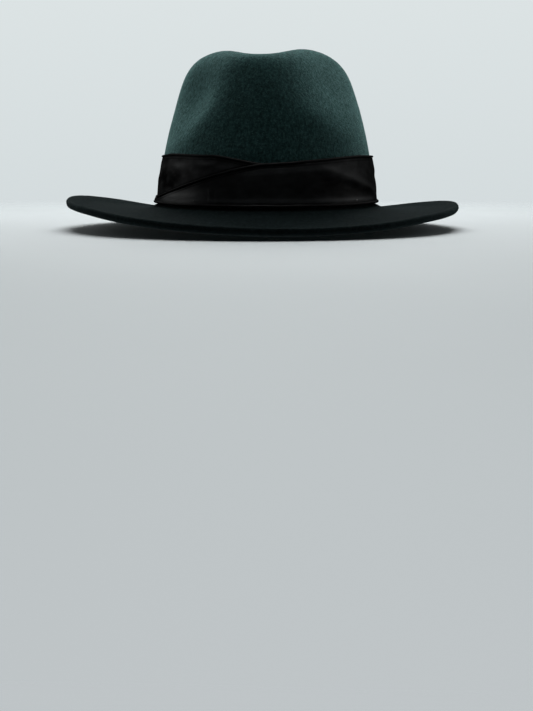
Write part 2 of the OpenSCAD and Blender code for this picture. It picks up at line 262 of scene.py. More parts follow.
def layered_noise(points, size, seed, layers=2):
    """Noise in layers, each half the size and strength of the last."""
    return sum(0.5 ** k * noise(points, size / 2 ** k, seed + k) for k in range(layers))


# ------------------------------------------------------------------ mesh tools
def make(name, mesh, slot, *replaced, ride=True, **shading):
    """Make an object from (points in mm, faces); shading holds point attributes for the satin.

    groove: painted shade in a seam or under a fold, 0 to 1; the satin darkens there.
    lit: painted highlight above 0 and painted shade below 0.
    """
    points, faces = mesh
    data = bpy.data.meshes.new(name)
    data.from_pydata((np.asarray(points, float).reshape(-1, 3) * MM).tolist(), [], faces)
    data.update(calc_edges=True)
    for attribute, values in shading.items():
        layer = data.attributes.new(attribute, "FLOAT", "POINT")
        layer.data.foreach_set("value", np.asarray(values, np.float32).ravel())
    data.validate()
    data.shade_smooth()
    ob = bpy.data.objects.new(name, data)
    bpy.context.scene.collection.objects.link(ob)
    data.materials.append(MATERIALS[slot])
    if ride:
        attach(ob, "hat")
    if replaced:
        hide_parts(*replaced)
    return ob


def grid_faces(columns, rows, close_columns=True, close_rows=True, base=0):
    """Quads over a grid of columns with `rows` points each."""
    column, row = np.meshgrid(np.arange(columns if close_columns else columns - 1),
                              np.arange(rows if close_rows else rows - 1), indexing="ij")
    next_column, next_row = (column + 1) % columns, (row + 1) % rows
    corners = [column * rows + row, column * rows + next_row,
               next_column * rows + next_row, next_column * rows + row]
    return (np.stack(corners, -1).reshape(-1, 4) + base).tolist()


def grid_solid(points, closed=True):
    """Closed mesh from points[column][row]; rows run round a closed section."""
    columns, rows = points.shape[:2]
    faces = grid_faces(columns, rows, closed, True)
    if not closed:
        faces.append(list(range(rows - 1, -1, -1)))
        faces.append([(columns - 1) * rows + row for row in range(rows)])
    return points.reshape(-1, 3), faces


def shell(outer, outer_tip, inner, inner_tip):
    """Closed dome from two column grids, each closed at its tip, joined along their feet."""
    columns, outer_rows = outer.shape[:2]
    inner_rows = inner.shape[1]
    inner_base = columns * outer_rows + 1

    def dome(rows, base):
        tip = base + columns * rows
        caps = [[base + i * rows + rows - 1, tip, base + (i + 1) % columns * rows + rows - 1]
                for i in range(columns)]
        return grid_faces(columns, rows, True, False, base) + caps

    faces = [face[::-1] for face in dome(outer_rows, 0)] + dome(inner_rows, inner_base)
    for i in range(columns):
        after = (i + 1) % columns
        faces.append([inner_base + i * inner_rows, inner_base + after * inner_rows,
                      after * outer_rows, i * outer_rows])
    return np.concatenate([outer.reshape(-1, 3), outer_tip[None],
                           inner.reshape(-1, 3), inner_tip[None]]), faces


def unit(vectors):
    return vectors / np.maximum(np.linalg.norm(vectors, axis=-1, keepdims=True), 1e-9)


def along_columns(points, closed):
    return np.roll(points, -1, 0) - np.roll(points, 1, 0) if closed else np.gradient(points, axis=0)


def grid_normals(points, closed=True):
    """Unit normals; outward where columns follow the plan angle and rows go up."""
    return unit(np.cross(along_columns(points, closed), np.gradient(points, axis=1)))


def sheet(points, thick, closed=True):
    """A thin closed piece: its second face lies `thick` mm along the grid's normals."""
    second = points + grid_normals(points, closed) * thick
    return grid_solid(np.concatenate([points, second[:, ::-1]], 1), closed)


def tube(path, radius, sides=10, closed=False):
    """A round cord along a path; the radius may vary along it."""
    forward = unit(along_columns(path, closed))
    steep = np.abs(forward[:, 2:]) > 0.95
    across = unit(np.cross(forward, np.where(steep, BACK, UP)))
    upright = np.cross(across, forward)
    turn = (np.arange(sides) / sides * 2 * np.pi)[None, :, None]
    ring = np.cos(turn) * across[:, None] + np.sin(turn) * upright[:, None]
    radius = np.broadcast_to(radius, (len(path),))
    return grid_solid(path[:, None] + radius[:, None, None] * ring, closed)


def join(parts):
    points, faces, base = [], [], 0
    for part_points, part_faces in parts:
        points.append(part_points)
        faces += [[index + base for index in face] for face in part_faces]
        base += len(part_points)
    return np.concatenate(points), faces


def stitch(start, end, facing, radius, lift, steps=5, sides=6):
    """One sewn stitch that dives into the cloth at both ends."""
    share = np.linspace(0, 1, steps)[:, None]
    path = start * (1 - share) + end * share + facing * (lift * np.sin(np.pi * share) - 0.15)
    ends = np.sqrt(np.clip(1 - (2 * share[:, 0] - 1) ** 6, 0.08, 1))
    return tube(path, radius * ends, sides)


def stitch_ring(count, first, last, z, out, side, radius, lift):
    """Stitches round the crown, each from `first` to `last` degrees of its pitch."""
    parts = []
    for i in range(count):
        start, end = np.radians(i * 360 / count + first), np.radians(i * 360 / count + last)
        facing = side * outward((start + end) / 2)
        parts.append(stitch(wall(start, z, out), wall(end, z, out), facing, radius, lift))
    return join(parts)


# ------------------------------------------------------------------ materials
def greys(*stops):
    return [(place, (value, value, value)) for place, value in stops]


class Shader:
    """A node tree; every input takes either a value or another node's output."""

    def __init__(self, owner, output="OutputMaterial"):
        self.owner = owner
        owner.use_nodes = True
        self.tree = owner.node_tree
        self.tree.nodes.clear()
        self.output = self.add(output)
        self.coords = self.add("TexCoord").outputs

    def add(self, kind, inputs=None, **props):
        node = self.tree.nodes.new("ShaderNode" + kind)
        for prop, value in props.items():
            setattr(node, prop, value)
        for key, value in (inputs or {}).items():
            socket = node.inputs[key]
            if isinstance(value, bpy.types.NodeSocket):
                self.tree.links.new(value, socket)
            else:
                is_color = isinstance(value, tuple) and socket.type == "RGBA"
                socket.default_value = (*value, 1) if is_color else value
        return node

    def finish(self, result):
        self.tree.links.new(result, self.output.inputs[0])
        return self.owner

    def principled(self, inputs):
        return self.add("BsdfPrincipled", inputs).outputs[0]

    def noise(self, scale, detail=3, rough=0.5, at=None):
        return self.add("TexNoise", {"Scale": scale, "Detail": detail, "Roughness": rough,
                                     "Vector": at or self.coords["Object"]}).outputs["Fac"]

    def mapped(self, scale, turn=(0, 0, 0)):
        return self.add("Mapping", {"Scale": scale, "Rotation": turn,
                                    "Vector": self.coords["Object"]}).outputs[0]

    def strands(self, scale, turn=(0, 0, 0), detail=3, rough=0.6):
        """Noise drawn out along the axis with the smallest scale."""
        return self.noise(1.0, detail, rough, at=self.mapped(scale, turn))

    def ramp(self, value, stops):
        node = self.add("ValToRGB", {0: value})
        elements = node.color_ramp.elements
        while len(elements) < len(stops):
            elements.new(0.5)
        for element, (place, color) in zip(elements, stops):
            element.position = place
            element.color = (*color, 1)
        return node.outputs[0]

    def map_range(self, value, start, end, to_start=0.0, to_end=1.0, curve="LINEAR"):
        return self.add("MapRange", {"Value": value, "From Min": start, "From Max": end,
                                     "To Min": to_start, "To Max": to_end},
                        interpolation_type=curve).outputs["Result"]

    def math(self, operation, first, second, clamp=False):
        return self.add("Math", {0: first, 1: second},
                        operation=operation, use_clamp=clamp).outputs[0]

    def weighted(self, *pairs):
        """Sum of (output, weight) pairs."""
        (value, weight), *rest = pairs
        scaled = self.math("MULTIPLY", value, weight)
        return self.math("ADD", scaled, self.weighted(*rest)) if rest else scaled

    def varied(self, base, source, span):
        return self.math("ADD", base, self.math("MULTIPLY", source, span))

    def mix(self, amount, first, second, mode="MIX"):
        return self.add("Mix", data_type="RGBA", blend_type=mode,
                        inputs={0: amount, 6: first, 7: second}).outputs[2]

    def multiply(self, first, second, amount=1.0):
        return self.mix(amount, first, second, "MULTIPLY")

    def bump(self, height, strength, distance, under=None):
        inputs = {"Strength": strength, "Distance": distance, "Height": height}
        if under is not None:
            inputs["Normal"] = under
        return self.add("Bump", inputs).outputs[0]


def felt_material(name, dark, mid, light, fleck, fleck_amount, sheen, tint):
    """Pressed wool: clumped pile, brushed nap, lighter crossing fibres and a soft halo."""
    t = Shader(bpy.data.materials.new(name))
    clump = t.noise(scale=420, detail=4, rough=0.72)
    pile = t.noise(scale=900, detail=4, rough=0.75)
    nap = t.strands(scale=(760, 760, 170), turn=(0.0, 0.45, 0.0), detail=4, rough=0.65)
    fibre_a = t.strands(scale=(2300, 330, 650), turn=(0.3, 0.5, 0.2))
    fibre_b = t.strands(scale=(330, 2300, 650), turn=(0.6, 0.1, 1.1))
    fibre_c = t.strands(scale=(650, 450, 2300), turn=(0.2, 0.9, 0.4))
    fibres = t.math("MAXIMUM", t.math("MAXIMUM", fibre_a, fibre_b), fibre_c)

    tone = t.weighted((clump, 0.45), (pile, 0.25), (nap, 0.30))
    ground = t.ramp(tone, [(0.41, dark), (0.50, mid), (0.60, light)])
    patches = t.ramp(t.noise(scale=30), greys((0.3, 0.86), (0.7, 1.12)))
    flecks = t.ramp(fibres, greys((0.60, 0), (0.78, 1)))
    color = t.mix(t.math("MULTIPLY", flecks, fleck_amount), t.multiply(ground, patches), fleck)

    height = t.weighted((clump, 0.8), (pile, 0.4), (fibres, 0.5))
    fine = t.bump(height, strength=0.75, distance=0.0007)
    normal = t.bump(t.noise(scale=160), strength=0.25, distance=0.0008, under=fine)

    stroke = t.strands(scale=(1500, 1500, 420), turn=(0.0, 0.9, 0.0))
    halo = t.map_range(t.weighted((stroke, 0.6), (clump, 0.4)), start=0.40, end=0.62,
                       to_start=sheen * 0.50, to_end=sheen * 1.62)
    return t.finish(t.principled({
        "Base Color": color, "Roughness": 0.95, "Normal": normal, "Sheen Weight": halo,
        "Sheen Roughness": 0.5, "Sheen Tint": tint, "Specular IOR Level": 0.012}))


def satin_material(name, dark, light, rough, gloss, dim=((0.0, 1.0), (1.0, 1.0)), weave=5200):
    """Satin with fine cross ribs and slubs; dim and gloss run from face-on to edge-on."""
    t = Shader(bpy.data.materials.new(name))
    ribs = t.add("TexWave", wave_type="BANDS", bands_direction="Z", inputs={
        "Scale": weave / 6.283,        # ribs per metre over one turn of the wave
        "Distortion": 0.6, "Detail": 1.0, "Detail Scale": 2.0, "Vector": t.coords["Object"]})
    thread = t.strands(scale=(260, 260, 5200), detail=2, rough=0.5)
    slub = t.strands(scale=(120, 120, 900))
    normal = t.bump(ribs.outputs["Fac"], strength=0.14, distance=0.00012)
    normal = t.bump(thread, strength=0.26, distance=0.00022, under=normal)
    normal = t.bump(t.noise(scale=120, rough=0.55), strength=0.20, distance=0.0006, under=normal)
    normal = t.bump(slub, strength=0.16, distance=0.0005, under=normal)

    # painted shade darkens the cloth; painted light above 0 brightens its colour and gloss, below 0
    # dulls them
    facing = t.add("LayerWeight", {"Blend": 0.5}).outputs["Facing"]
    groove = t.add("Attribute", attribute_name="groove").outputs["Fac"]
    lit = t.add("Attribute", attribute_name="lit").outputs["Fac"]
    unshaded = t.math("SUBTRACT", 1.0, t.math("MULTIPLY", groove, 0.92, clamp=True))
    painted_light_gain = t.math("MAXIMUM", t.varied(1.0, lit, span=1.6), 0.2)
    light_share = t.math("MULTIPLY", unshaded, painted_light_gain)

    color = t.ramp(t.noise(scale=70), [(0.3, dark), (0.7, light)])
    color = t.multiply(t.multiply(color, t.ramp(facing, greys(*dim))), light_share)
    # gloss follows the slubs and the painted highlight and shade
    slub_and_painted_light = t.math("MULTIPLY", light_share, t.varied(0.8, slub, span=0.4))
    shine = t.multiply(t.ramp(facing, greys(*gloss)), slub_and_painted_light)
    gloss_rough = t.varied(rough - 0.06, t.noise(scale=240, rough=0.6), span=0.12)
    cloth = t.principled({"Base Color": color, "Roughness": 0.8, "Normal": normal,
                          "Specular IOR Level": 0.0})
    glossy = t.add("BsdfAnisotropic", {"Color": shine, "Roughness": gloss_rough,
                                       "Normal": normal}).outputs[0]
    return t.finish(t.add("AddShader", {0: cloth, 1: glossy}).outputs[0])


def thread_material(name, dark, light):
    t = Shader(bpy.data.materials.new(name))
    twist = t.add("TexWave", {"Scale": 900, "Distortion": 1.5, "Vector": t.coords["Object"]},
                  wave_type="BANDS", bands_direction="DIAGONAL").outputs["Fac"]
    return t.finish(t.principled({
        "Base Color": t.ramp(twist, [(0.2, dark), (0.8, light)]), "Roughness": 0.6,
        "Normal": t.bump(twist, strength=0.5, distance=0.0002),
        "Sheen Weight": 0.3, "Specular IOR Level": 0.3}))


def leather_material(name):
    t = Shader(bpy.data.materials.new(name))
    cells = t.add("TexVoronoi", {"Scale": 900, "Vector": t.coords["Object"]},
                  feature="DISTANCE_TO_EDGE")
    grain = t.ramp(cells.outputs["Distance"], greys((0.0, 0), (0.25, 1)))
    color = t.ramp(t.noise(scale=45, detail=4, rough=0.6), [
        (0.25, (0.030, 0.017, 0.010)), (0.55, (0.052, 0.030, 0.018)),
        (0.8, (0.078, 0.047, 0.029))])
    fine = t.bump(grain, strength=0.35, distance=0.00025)
    return t.finish(t.principled({
        "Base Color": t.multiply(color, grain, amount=0.35),
        "Roughness": t.varied(0.42, t.noise(scale=90), span=0.22),
        "Normal": t.bump(t.noise(scale=260), strength=0.25, distance=0.0005, under=fine),
        "Specular IOR Level": 0.45, "Coat Weight": 0.05, "Coat Roughness": 0.5}))


def tape_material(name, dark, light):
    """Plain woven cotton; the weave is turned to lie in upright faces."""
    t = Shader(bpy.data.materials.new(name))
    weave = t.add("TexBrick", {
        "Scale": 900, "Mortar Size": 0.03, "Mortar Smooth": 0.8, "Color1": dark, "Color2": light,
        "Mortar": tuple(value * 0.5 for value in dark),
        "Vector": t.mapped(scale=(1, 1, 1), turn=(1.5708, 0, 0))}).outputs
    mottle = t.ramp(t.noise(scale=300, rough=0.6), [(0.3, dark), (0.7, light)])
    return t.finish(t.principled({
        "Base Color": t.mix(0.25, weave["Color"], mottle), "Roughness": 0.85,
        "Normal": t.bump(weave["Fac"], strength=0.4, distance=0.0002),
        "Sheen Weight": 0.2, "Specular IOR Level": 0.2}))


MATERIALS = {      # by slot
    "crown_felt": felt_material(
        "crown_felt", dark=(0.0028, 0.0089, 0.0088), mid=(0.0063, 0.0198, 0.0196),
        light=(0.0138, 0.0374, 0.0367), fleck=(0.056, 0.108, 0.105), fleck_amount=0.5,
        sheen=0.26, tint=(0.42, 0.76, 0.73)),
    "brim_felt": felt_material(
        "brim_felt", dark=(0.0010, 0.0021, 0.0023), mid=(0.0023, 0.0041, 0.0043),
        light=(0.0046, 0.0075, 0.0078), fleck=(0.014, 0.021, 0.022), fleck_amount=0.35,
        sheen=0.026, tint=(0.56, 0.80, 0.82)),
    "band_satin": satin_material(
        "band_satin", dark=(0.0026, 0.0029, 0.0033), light=(0.0042, 0.0046, 0.0052), rough=0.46,
        gloss=((0.0, 0.012), (0.25, 0.010), (0.45, 0.009), (0.7, 0.009), (1.0, 0.012)),
        dim=((0.0, 1.0), (0.1, 0.9), (0.22, 0.62), (0.43, 0.34), (0.66, 0.25), (0.9, 0.2))),
    "lining_satin": satin_material(
        "lining_satin", dark=(0.012, 0.012, 0.014), light=(0.022, 0.022, 0.025), rough=0.33,
        gloss=((0.0, 0.03), (1.0, 0.12))),
    "thread": thread_material("thread", dark=(0.006, 0.006, 0.006), light=(0.020, 0.020, 0.021)),
    "sweat_leather": leather_material("sweat_leather"),
    "cotton_tape": tape_material("cotton_tape", dark=(0.42, 0.39, 0.33), light=(0.52, 0.49, 0.43)),
    "reed": satin_material(
        "reed_cover", dark=(0.010, 0.010, 0.011), light=(0.018, 0.018, 0.019), rough=0.5,
        gloss=((0.0, 0.03), (1.0, 0.10)), weave=2600),
}


# ------------------------------------------------------------------ crown and brim
def build_crown():
    angle = np.linspace(0, 2 * np.pi, 400, endpoint=False)[:, None]
    rise = np.concatenate([np.linspace(0, WALL_END, 75, endpoint=False),
                           np.linspace(WALL_END, TOP_START, 27, endpoint=False),
                           np.linspace(TOP_START, 0.997, 48)])[None]
    outer = crown_points(angle, rise, 0.0)
    # broad unevenness and fine pile, fading out under the band
    uneven = (0.30 * layered_noise(outer, size=34, seed=3)
              + 0.055 * layered_noise(outer, size=1.7, seed=11)) * smooth(0.25, 0.33, rise)
    outer = outer + grid_normals(outer) * uneven[..., None]
    inner = crown_points(angle, rise[:, ::2], FELT)
    make("crown_felt", shell(outer, crown_tip(0.0), inner, crown_tip(FELT)), "crown_felt", "crown")


# (z, out from the crown wall): collar faces inside the crown, up the inner and down the outer
COLLAR_INNER = [(-2.2, -2.9), (0.0, -3.75), (6.0, -3.8), (COLLAR_H, -3.7)]
COLLAR_OUTER = [(COLLAR_H, -2.6), (7.0, -2.5), (4.6, -2.5), (BRIM_BREAK + 0.7, -2.2)]
RIM_TURN = [82, 72, 60, 46, 30, 12, -8, -28, -46, -62, -78]   # degrees round the rolled edge
RIM_REACH, RIM_OUT = 0.968, 2.3


def build_brim():
    """One piece of felt: collar, upper face, rolled edge, lower face and back to the collar."""
    count = 480
    angle = np.linspace(0, 2 * np.pi, count, endpoint=False)
    column = angle[:, None]
    rows = 56
    reach = np.concatenate([np.linspace(0, 0.84, rows - 16, endpoint=False),
                            np.linspace(0.84, 1, 16)])[None] * 0.966 + 0.002

    turn = np.radians(RIM_TURN)[None]
    half = (BRIM_T + BRIM_LIP) / 2
    out = outward(angle)[:, None]
    rim = (brim_points(column, RIM_REACH, 0.0) + out * (RIM_OUT * np.cos(turn) ** 0.72)[..., None]
           + UP * (BRIM_LIP - half + half * np.sin(turn))[..., None])
    rim = (rim + out * 0.16 * noise(rim, size=9, seed=5)[..., None]
           + UP * (0.10 * noise(rim, size=2.2, seed=6))[..., None])

    def rough(broad_at, fine_at, fine_seed, fade):
        broad = 0.22 * layered_noise(broad_at, size=42, seed=21)
        fine = 0.05 * layered_noise(fine_at, size=1.8, seed=fine_seed)
        return UP * (broad + fine)[..., None] * fade

    fade = smooth(0.02, 0.15, reach)[..., None]
    upper = brim_points(column, reach, brim_rise(reach))
    upper = upper + rough(upper, upper, 22, fade)
    lower = brim_points(column, reach[:, ::-1], -BRIM_T)
    lower = lower + rough(upper[:, ::-1], lower, 24, fade[:, ::-1])
    inner = np.stack([wall(angle, *station) for station in COLLAR_INNER], 1)
    outer = np.stack([wall(angle, *station) for station in COLLAR_OUTER], 1)
    section = np.concatenate([outer, upper, rim, lower, inner], 1)
    ob = make("brim_felt", grid_solid(section), "brim_felt", "brim", "brim_front", ride=False)
    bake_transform(ob)


# ------------------------------------------------------------------ satin band
DEGREE_MM = 1.65      # a degree of the band laid flat

# Soft ridges, or valleys where the height is negative:
# start deg, start z, end deg, end z, width above the line, width below it, height
WRAP_FOLDS = [
    (-62, 31.0, -30, 33.0, 2.6, 3.6, 0.30), (-66, 27.5, -44, 20.5, 3.2, 4.2, 0.34),
    (-84, 24.0, -62, 11.5, 3.0, 3.4, 0.30), (-38, 27.5, -22, 23.5, 2.2, 2.8, 0.22),
    (-60, 24.6, -36, 28.0, 2.4, 2.4, -0.26), (-76, 16.5, -58, 21.5, 2.2, 2.2, -0.20),
    (-128, 30.0, -100, 17.0, 3.4, 4.0, 0.34), (-168, 18.0, -132, 25.0, 3.2, 3.8, 0.26),
    (-150, 12.0, -112, 9.0, 2.8, 2.8, -0.22),
]
DRAPE_FOLDS = [
    (-10, 25.6, 30, 30.6, 3.0, 1.6, 0.42),       # crest just under the hem
    (22, 31.0, 72, 13.0, 9.0, 3.2, 0.95),        # the long fold down to the wearer's left
    (26, 23.0, 58, 11.5, 3.0, 5.0, -0.50),
    (-58, 9.5, -26, 11.0, 3.2, 2.6, 0.46),       # swell near the tuck
    (-46, 14.5, -14, 18.5, 2.6, 2.6, -0.34),
    (-24.5, 15.0, -23.5, 6.0, 1.4, 1.0, 0.34),   # short upright wrinkle
    (-22.2, 14.5, -21.2, 6.0, 1.0, 1.0, -0.30),
    (-24, 7.2, 70, 7.4, 2.0, 1.6, 0.34),         # the foot swells over the cord
    (-4, 19.0, 34, 21.0, 3.0, 3.0, 0.18),
    (84, 27.0, 128, 14.0, 5.0, 3.6, 0.62), (88, 17.5, 112, 8.5, 2.6, 3.4, -0.40),
    (118, 28.5, 170, 20.0, 4.0, 4.0, 0.44), (126, 18.0, 166, 11.0, 3.0, 3.0, -0.34),
]
# painted highlight along the crest just under the outer layer's hem
DRAPE_LIT_FOLDS = [(-8, 25.8, 19, 29.6, 1.5, 2.2, 0.65), (17, 29.6, 40, 29.8, 1.4, 2.0, 0.45)]
# Spots: centre deg, centre z, half width in degrees, half height, amount
# painted highlight where the amount is above 0, painted shade where it is below
WRAP_LIT_SPOTS = [
    (-47, 31.5, 6, 2.4, 0.80), (-28, 32.8, 4.5, 1.6, 0.95), (-49, 21, 9, 6, -0.40),
    (-67, 26.5, 7, 4, 0.04), (-62, 24, 11, 6, -0.34), (-16, 30.5, 7, 1.6, 0.45),
    (-56, 17, 9, 2, -0.35), (-12, 27.5, 5, 1.5, -0.30),
]
DRAPE_SIDE_SPOTS = [(88, 15, 12, 5.0, 0.45), (88, 24, 13, 3.2, -0.5)]


def wrap_top(deg):
    """Top of the inner layer; it dips near the front and peaks on the wearer's right."""
    right = mix(BAND_DIP, BAND_H, smooth(5, -26, deg)) + 1.2 * bell(deg, -54, 15)
    left = mix(BAND_DIP, BAND_H - 2, smooth(5, 70, deg))
    return np.where(deg < 5, right, left) + BAND_LIFT


def drape_top(deg):
    """Top of the outer layer, climbing from the tuck on the wearer's right."""
    right = mix(6, BAND_DIP + 1.8, smooth(-80, 14, deg))
    left = mix(BAND_DIP, BAND_H, smooth(-8, 64, deg))
    return np.where(deg < 0, right, left) + BAND_LIFT


def laid_flat(deg, z, tall, wide=1.5):
    """Places on the band as flat points for noise, scaled by wide and tall."""
    deg, z = np.broadcast_arrays(deg, z)
    return np.stack([deg * wide, z * tall, 0 * z], -1)


def fold(deg, z, deg0, z0, deg1, z1, above, below, height):
    run, climb = (deg1 - deg0) * DEGREE_MM, z1 - z0
    x, y = (deg - deg0) * DEGREE_MM, z - z0
    length_squared = run * run + climb * climb
    share = (x * run + y * climb) / length_squared
    side = (y * run - x * climb) / math.sqrt(length_squared)
    width = np.where(side > 0, above, below)
    ends = smooth(-0.18, 0.22, share) * (1 - smooth(0.78, 1.18, share))
    return height * bell(side, 0, width) * ends


def folds(deg, z, table):
    return sum(fold(deg, z, *row) for row in table)


def spots(deg, z, table):
    return sum(amount * bell(deg, spot_deg, wide) * bell(z, spot_z, tall)
               for spot_deg, spot_z, wide, tall, amount in table)


def wrap_offset(deg, share, z):
    """How far the inner layer stands out; share runs from foot 0 to top 1."""
    seen = smooth(-176, -150, deg) * (1 - smooth(-16, 6, deg))
    uneven = 0.14 * layered_noise(laid_flat(deg, z, tall=2.6), size=24, seed=31, layers=3)
    billow = 0.20 * np.sin(np.clip(share, 0, 1) * np.pi) ** 1.5
    return (0.92 + (uneven + billow) * (0.25 + 0.75 * seen) + folds(deg, z, WRAP_FOLDS) * seen
            + 0.30 * np.exp(-(z - WRAP_FOOT) / 4))


# painted highlight and painted shade on the inner layer, with fine random variation
def wrap_lit(deg, z):
    fine = 0.22 * layered_noise(laid_flat(deg, z, tall=1.6), size=7, seed=131)
    return spots(deg, z, WRAP_LIT_SPOTS) + fine


def wrap_shadow(deg, z):
    """The outer layer's rolled edge shades the inner layer just above it."""
    above = z - (drape_top(np.clip(deg, -84, 0)) + 2 * CORD)
    covered = smooth(-88, -80, deg) * (1 - smooth(0, 4, deg))
    return 0.9 * bell(np.clip(above, 0, 9), 0, 0.9) * covered


def drape_offset(deg, share, z):
    """Billow and folds of the outer layer; share runs from foot 0 to top 1."""
    uneven = 0.12 * layered_noise(laid_flat(deg, z, tall=2.4), size=26, seed=41, layers=3)
    billow = 0.22 * np.sin(np.clip(share, 0, 1) * np.pi) ** 0.8
    # folds that fan out of the tuck at the lower corner
    turn = np.arctan2(z - BRIM_BREAK - 2.0, (deg + 86) * 1.5)
    fan = bell(deg, -84, 30) * (0.34 * np.sin(turn * 24 + 0.6) + 0.16 * np.sin(turn * 43 + 2.0))
    flare = np.exp(-(z - BRIM_BREAK - 1.0) / 3.2)
    return (1.62 + uneven + billow + fan + folds(deg, z, DRAPE_FOLDS)
            + spots(deg, z, DRAPE_SIDE_SPOTS) + flare)


def drape_lit(deg, z):
    """Painted highlight on the outer layer near the tuck, at the foot, on the crest and under the
    hem, and painted shade where the value is below 0.
    """
    fine = 0.16 * layered_noise(laid_flat(deg, z, tall=1.6), size=7, seed=141)
    line = 30.6 - (deg - 28) * 0.42      # lower edge of the painted highlight in the corner under the hem
    corner = smooth(-1.2, 1.4, z - line) * smooth(22, 36, deg)
    tuck = smooth(-66, -52, deg) * (1 - smooth(-36, -21, deg)) * bell(z, 8.6, 3.8)
    foot = bell(z, 7.0, 1.5) * smooth(-30, -21, deg) * (1 - smooth(64, 78, deg))
    return (2.05 * tuck + (0.95 + 0.45 * smooth(20, 50, deg)) * foot
            + folds(deg, z, DRAPE_LIT_FOLDS) + corner * (0.06 + 0.40 * bell(z, line + 2.0, 2.6))
            + spots(deg, z, [(38, 18, 19, 7, -0.36)]) * (1 - corner)
            + spots(deg, z, [(64, 15, 9, 5, -0.25)]) + fine)


def drape_shadow(deg, z):
    return 0.25 * bell(z, BRIM_BREAK + 3.4, 0.4)


def satin_layer(name, replaced, deg, foot, top, rows, thick, closed, seen, seam_dip,
                offset, shadow, lit):
    """A band layer with a narrow turned hem; it dips under the roll and at the seam, and painted
    shade darkens it there.
    """
    share = np.linspace(0, 1, rows)[None]
    z = mix(foot, top, share)
    below = top - z
    dip = 0.30 * bell(below, 0.95, 0.5) + seam_dip * bell(below, 2.7, 0.45)
    points = wall(np.radians(deg), z, offset(deg, share, z) - dip * seen)
    # painted shade along the hem's fold and stitch line; the shadow function adds painted shadow
    hem = 0.95 * bell(below, 0.95, 0.45) + 0.55 * bell(below, 2.7, 0.40)
    groove, painted_light = np.maximum(hem * seen, shadow(deg, z)), lit(deg, z)
    make(name, sheet(points, thick, closed), "band_satin", replaced,
         groove=np.concatenate([groove, groove[:, ::-1]], 1),
         lit=np.concatenate([painted_light, painted_light[:, ::-1]], 1))


def build_wrap():
    deg = np.linspace(-180, 180, 720, endpoint=False)[:, None]
    seen = smooth(-176, -150, deg) * (1 - smooth(-4, 6, deg))
    satin_layer("band_wrap", "hatband_wrap", deg, foot=WRAP_FOOT, top=wrap_top(deg) + CORD,
                rows=64, thick=0.5, closed=True, seen=seen, seam_dip=0.14,
                offset=wrap_offset, shadow=wrap_shadow, lit=wrap_lit)


def build_drape():
    deg = np.linspace(-84.5, 175.5, 660)[:, None]
    satin_layer("band_drape", "hatband_drape", deg, foot=DRAPE_FOOT,
                top=drape_top(deg) + CORD * 0.9, rows=72, thick=0.42, closed=False,
                seen=smooth(-84, -70, deg), seam_dip=0.16,
                offset=drape_offset, shadow=drape_shadow, lit=drape_lit)


def cord(name, replaced, deg, z, out, radius, seed):
    """A slightly uneven satin cord with tapered ends."""
    flat = laid_flat(deg, z, tall=1, wide=1.6)
    z = z + 0.10 * noise(flat, 11, seed) + 0.05 * noise(flat, 3.1, seed + 1)
    out = out + 0.08 * noise(flat, 8, seed + 2)
    radius = radius * (1 + 0.10 * noise(flat, 4.5, seed + 3) + 0.05 * noise(flat, 1.6, seed + 4))
    step = np.arange(len(deg))
    ends = np.clip(np.minimum(step, step[::-1]) / 3.0, 0.25, 1)
    path = wall(np.radians(deg), z, out)
    make(name, tube(path, radius * np.sqrt(ends), 12), "band_satin", replaced)


def build_cords():
    steps = 480
    deg = np.linspace(-178, 1.5, steps)
    cord("wrap_cord_upper", "wrap_cord_top", deg, z=wrap_top(deg) + CORD + 0.1,
         out=0.42 + CORD, radius=CORD * 0.92, seed=81)
    cord("wrap_cord_lower", "wrap_cord_bottom", np.linspace(-178, -93, steps),
         z=BRIM_BREAK + 1.6, out=1.85, radius=CORD * 0.95, seed=85)
    deg = np.linspace(-84.5, 175.8, 620)
    bulge = 0.25 * (1 - smooth(0, 30, deg)) * smooth(-84, -60, deg)
    cord("drape_cord_upper", "drape_cord_top", deg, z=drape_top(deg) + CORD + 0.05,
         out=1.25 + CORD + bulge, radius=CORD * 0.95, seed=91)
    cord("drape_cord_lower", "drape_cord_bottom", np.linspace(-84, 175.8, 620),
         z=BRIM_BREAK + 2.0, out=2.9, radius=CORD * 1.15, seed=95)


# Folds of the tuck: deg, z above the break, (climb at start, at end), out, radius
TUCK_FOLDS = [
    (-90.5, 3.0, (-0.5, 0.9), 2.6, 1.15), (-88.8, 4.7, (-0.5, 1.3), 2.3, 0.95),
    (-92.2, 2.1, (-0.5, 1.7), 3.0, 0.95), (-87.6, 2.6, (-0.15, 0.63), 2.9, 0.9),
]


def build_tuck():
    """Gathered corner: a bundle of small folds pressed down to the brim."""
    rng = np.random.default_rng(7)
    steps = 14
    swell = np.sin(np.linspace(0.14, 0.93, steps) * np.pi) ** 0.6
    bow_out = 0.25 * np.sin(np.linspace(0, 3, steps))
    parts = []
    for deg, z, climb, out, radius in TUCK_FOLDS:
        path = wall(np.radians(np.linspace(deg - 1.5, deg + 3.6, steps)),
                    BRIM_BREAK + z + np.linspace(*climb, steps), out + bow_out)
        uneven = 1 + 0.08 * rng.standard_normal(steps)
        parts.append(tube(path, radius * swell * uneven, 12))
    make("band_tuck", join(parts), "band_satin", "drape_tuck")


def build_tacks():
    """Four slanting stitches near the foot of the band."""
    parts = []
    for deg in (-33, 51, 99, 147):
        start = wall(np.radians(deg - 0.55), BRIM_BREAK + 4.4, 3.25)
        end = wall(np.radians(deg + 0.55), BRIM_BREAK + 5.3, 3.2)
        facing = outward(np.radians(deg))
        parts.append(stitch(start, end, facing, radius=0.24, lift=0.3, steps=9, sides=8))
    make("band_tack_threads", join(parts), "thread", "band_tacks")


HEM_DROP = 1.15      # hem stitches below the top of the outer layer


def hem_point(deg):
    top = drape_top(deg)
    z = top - HEM_DROP
    share = (z - DRAPE_FOOT) / (top + 0.7 - DRAPE_FOOT)
    return wall(np.radians(deg), z, drape_offset(deg, share, z) + 0.02)


